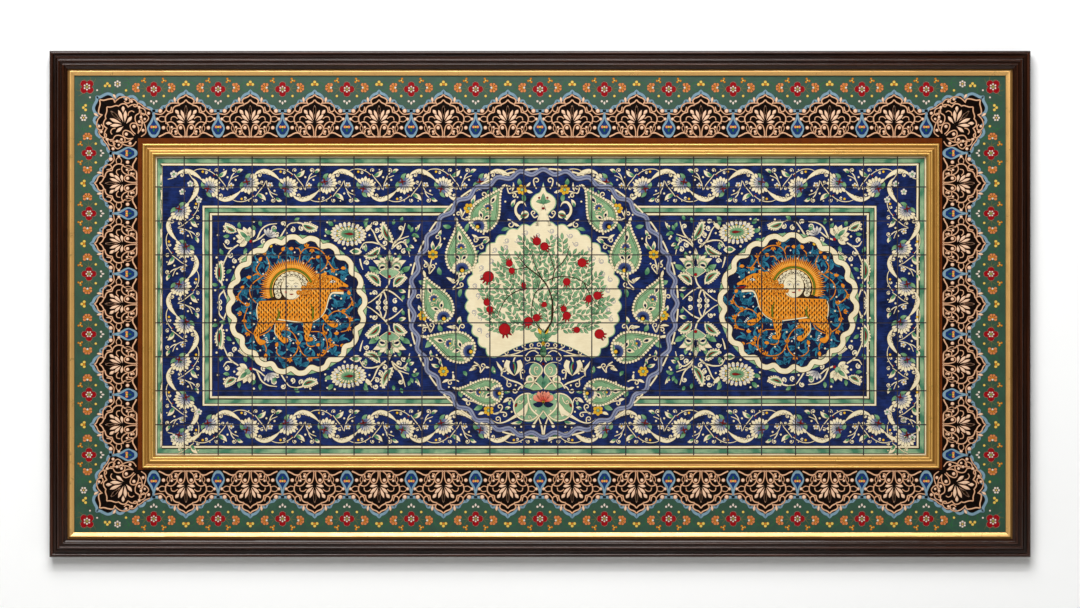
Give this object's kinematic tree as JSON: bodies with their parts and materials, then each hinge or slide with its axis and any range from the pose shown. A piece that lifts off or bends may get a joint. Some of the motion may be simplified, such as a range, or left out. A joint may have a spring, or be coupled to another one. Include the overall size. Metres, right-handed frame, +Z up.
{
  "type": "framed tile wall panel",
  "caption": "Wide wall panel of glazed painted tiles with medallions, in a gilt inner moulding, a painted scalloped border board and a dark reeded wooden frame.",
  "frame": {"origin": "centre of the flat back, in the plane that lies against the wall", "axes": "+X to the viewer's right, +Y into the wall, +Z up; the picture faces -Y"},
  "size_m": [2.885, 0.0505, 1.489],
  "materials": {
    "dark_wood": "dark brown stain under a satin varnish",
    "gilding": "gold leaf colour on wood, burnished on the reeds",
    "back_board": "plain unpainted board",
    "border_paint": "hand-painted board, green ground, satin",
    "tile_glaze": "cobalt blue glaze with cream and green painting, glossy"
  },
  "bodies": {
    "root": {"frame_top": "dark_wood", "frame_right": "dark_wood", "frame_bottom": "dark_wood", "frame_left": "dark_wood", "gilt_slip_top": "gilding", "gilt_slip_right": "gilding", "gilt_slip_bottom": "gilding", "gilt_slip_left": "gilding", "backing_board": "back_board", "border_board": "border_paint", "gilt_moulding_top": "gilding", "gilt_moulding_right": "gilding", "gilt_moulding_bottom": "gilding", "gilt_moulding_left": "gilding", "tile_row_1": "tile_glaze", "tile_row_2": "tile_glaze", "tile_row_3": "tile_glaze", "tile_row_4": "tile_glaze", "tile_row_5": "tile_glaze", "tile_row_6": "tile_glaze", "tile_row_7": "tile_glaze", "tile_row_8": "tile_glaze", "tile_row_9": "tile_glaze"}
  },
  "joints": []
}
